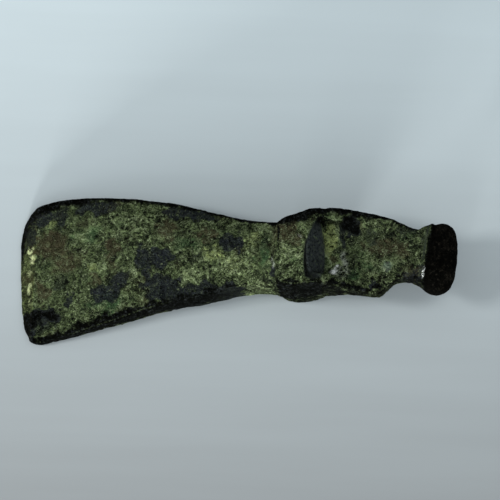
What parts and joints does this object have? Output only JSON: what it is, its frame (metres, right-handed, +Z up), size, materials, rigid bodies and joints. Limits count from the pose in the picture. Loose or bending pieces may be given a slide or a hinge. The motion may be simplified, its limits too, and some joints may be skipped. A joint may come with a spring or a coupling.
{
  "type": "palstave axe head",
  "caption": "Cast bronze palstave axe head with a flared blade, a stop ridge, flanged haft beds on both faces, a narrow neck and a flared butt.",
  "frame": {"origin": "on the ground under the middle of the space that the resting axe takes", "axes": "+X from the cutting edge to the butt, +Y to the side with the smaller horn, +Z up; the axe lies on its bevel's shoulder and the stop's land, so its mid plane rises 6.7 degrees towards the butt"},
  "size_m": [0.1506, 0.0518, 0.0248],
  "materials": {
    "green_patina": "rough olive green patina with dark blue grey patches and pits",
    "dark_bronze": "near black, slightly pitted skin",
    "ground_edge": "thin yellow green patina over a ground edge, with small bright spots"
  },
  "bodies": {
    "root": {"cutting_edge": "ground_edge", "blade": "green_patina", "stop_ridge": "green_patina", "septum": "green_patina", "flange_far_upper": "green_patina", "flange_far_lower": "green_patina", "flange_near_upper": "green_patina", "flange_near_lower": "green_patina", "neck": "green_patina", "butt_end": "dark_bronze"}
  },
  "joints": []
}
